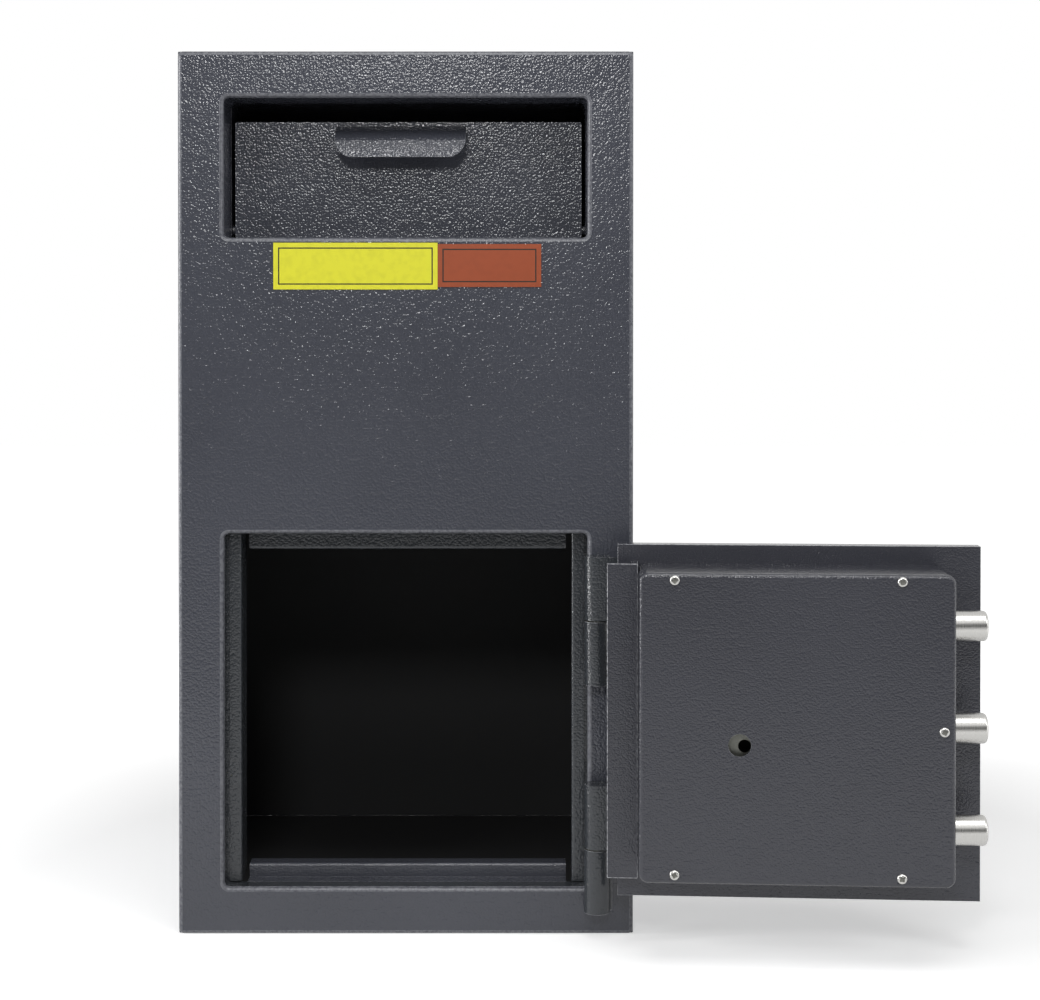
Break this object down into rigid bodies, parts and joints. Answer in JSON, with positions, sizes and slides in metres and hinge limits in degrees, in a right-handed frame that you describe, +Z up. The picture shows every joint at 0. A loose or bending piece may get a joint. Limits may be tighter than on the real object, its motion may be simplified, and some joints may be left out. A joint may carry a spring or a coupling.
{
  "type": "drop safe",
  "caption": "Upright steel drop safe with a tip-out deposit drawer above a thick hinged door that has a boltwork cover and live bolts.",
  "frame": {"origin": "centre of the cabinet's underside, on the surface that it stands on", "axes": "+Z up, -Y out of the front, +X to the right seen from the front"},
  "size_m": [0.6151, 0.4664, 0.69],
  "materials": {
    "hammered_grey_paint": "hammered enamel, satin",
    "dark_grey_paint": "fine textured powder coat",
    "zinc_plated_steel": "zinc plated, dull",
    "bright_steel": "turned bright steel",
    "chrome_plate": "satin chrome plate",
    "black_enamel": "smooth black enamel",
    "black_rubber": "moulded matte rubber",
    "yellow_sheet": "plain yellow sheet",
    "brown_sheet": "plain brown sheet"
  },
  "bodies": {
    "cabinet": {"side_plate_left": "hammered_grey_paint", "side_plate_right": "hammered_grey_paint", "top_plate": "hammered_grey_paint", "floor_plate": "hammered_grey_paint", "back_plate": "hammered_grey_paint", "front_panel": "hammered_grey_paint", "recess_liner": "hammered_grey_paint", "door_surround": "hammered_grey_paint", "jamb_latch": "hammered_grey_paint", "jamb_hinge": "hammered_grey_paint", "header_bar": "hammered_grey_paint", "sill_bar": "hammered_grey_paint", "label_wide": "yellow_sheet", "label_narrow": "brown_sheet", "drawer_pivot_rod": "dark_grey_paint", "housing_side_left": "dark_grey_paint", "housing_side_right": "dark_grey_paint", "curved_baffle": "dark_grey_paint", "chute_plate": "dark_grey_paint", "drawer_stop_left": "black_rubber", "drawer_stop_right": "black_rubber", "hinge_post_upper": "hammered_grey_paint", "hinge_post_lower": "hammered_grey_paint", "hinge_pin_upper": "zinc_plated_steel", "hinge_pin_lower": "zinc_plated_steel"},
    "drawer": {"drawer_front": "hammered_grey_paint", "drawer_handle": "hammered_grey_paint", "drawer_cheek_left": "dark_grey_paint", "drawer_cheek_right": "dark_grey_paint", "drawer_tray": "dark_grey_paint", "drawer_pivot_tube": "dark_grey_paint"},
    "door": {"door_slab": "hammered_grey_paint", "hinge_leaf_upper": "hammered_grey_paint", "hinge_leaf_lower": "hammered_grey_paint", "dead_bar": "hammered_grey_paint", "boltwork_cover": "dark_grey_paint", "cover_screw_top_near": "bright_steel", "cover_screw_top_far": "bright_steel", "cover_screw_edge": "bright_steel", "cover_screw_bottom_near": "bright_steel", "cover_screw_bottom_far": "bright_steel", "cover_rail_top": "zinc_plated_steel", "cover_rail_bottom": "zinc_plated_steel", "bolt_guide": "zinc_plated_steel", "hard_plate": "zinc_plated_steel", "lock_mount": "zinc_plated_steel", "lock_case": "zinc_plated_steel", "lock_lid": "zinc_plated_steel", "dial_ring": "chrome_plate", "handle_rose": "chrome_plate"},
    "boltwork": {"bolt_bar": "zinc_plated_steel", "blocking_strip": "zinc_plated_steel", "live_bolt_upper": "bright_steel", "live_bolt_middle": "bright_steel", "live_bolt_lower": "bright_steel"},
    "handle": {"handle_crank": "zinc_plated_steel", "handle_lever": "chrome_plate"},
    "dial": {"dial": "black_enamel", "drive_cam": "bright_steel"},
    "lock_bolt": {"lock_bolt": "bright_steel"}
  },
  "joints": [
    {"name": "door_hinge", "type": "hinge", "parent": "cabinet", "child": "door", "pos_m": [0.149, -0.188, 0.15], "axis": [0, 0, -1], "range_deg": [0, 176.5]},
    {"name": "bolt_throw", "type": "slide", "parent": "door", "child": "boltwork", "axis": [-0.9981, 0.061, 0], "range_m": [0, 0.019]},
    {"name": "handle_turn", "type": "hinge", "parent": "door", "child": "handle", "pos_m": [0.3336, -0.19929, 0.18105], "axis": [-0.061, -0.9981, 0], "range_deg": [0, 43.1]},
    {"name": "dial_turn", "type": "hinge", "parent": "door", "child": "dial", "pos_m": [0.25397, -0.19442, 0.195], "axis": [0.061, 0.9981, 0], "continuous": true},
    {"name": "lock_bolt_slide", "type": "slide", "parent": "door", "child": "lock_bolt", "axis": [0, 0, 1], "range_m": [0, 0.008]},
    {"name": "drawer_tilt", "type": "hinge", "parent": "cabinet", "child": "drawer", "pos_m": [0, -0.1225, 0.5526], "axis": [1, 0, 0], "range_deg": [0, 55]}
  ],
  "couplings": [
    {"joint": "handle_turn", "follows": "bolt_throw", "rad_per_m": 39.499}
  ]
}
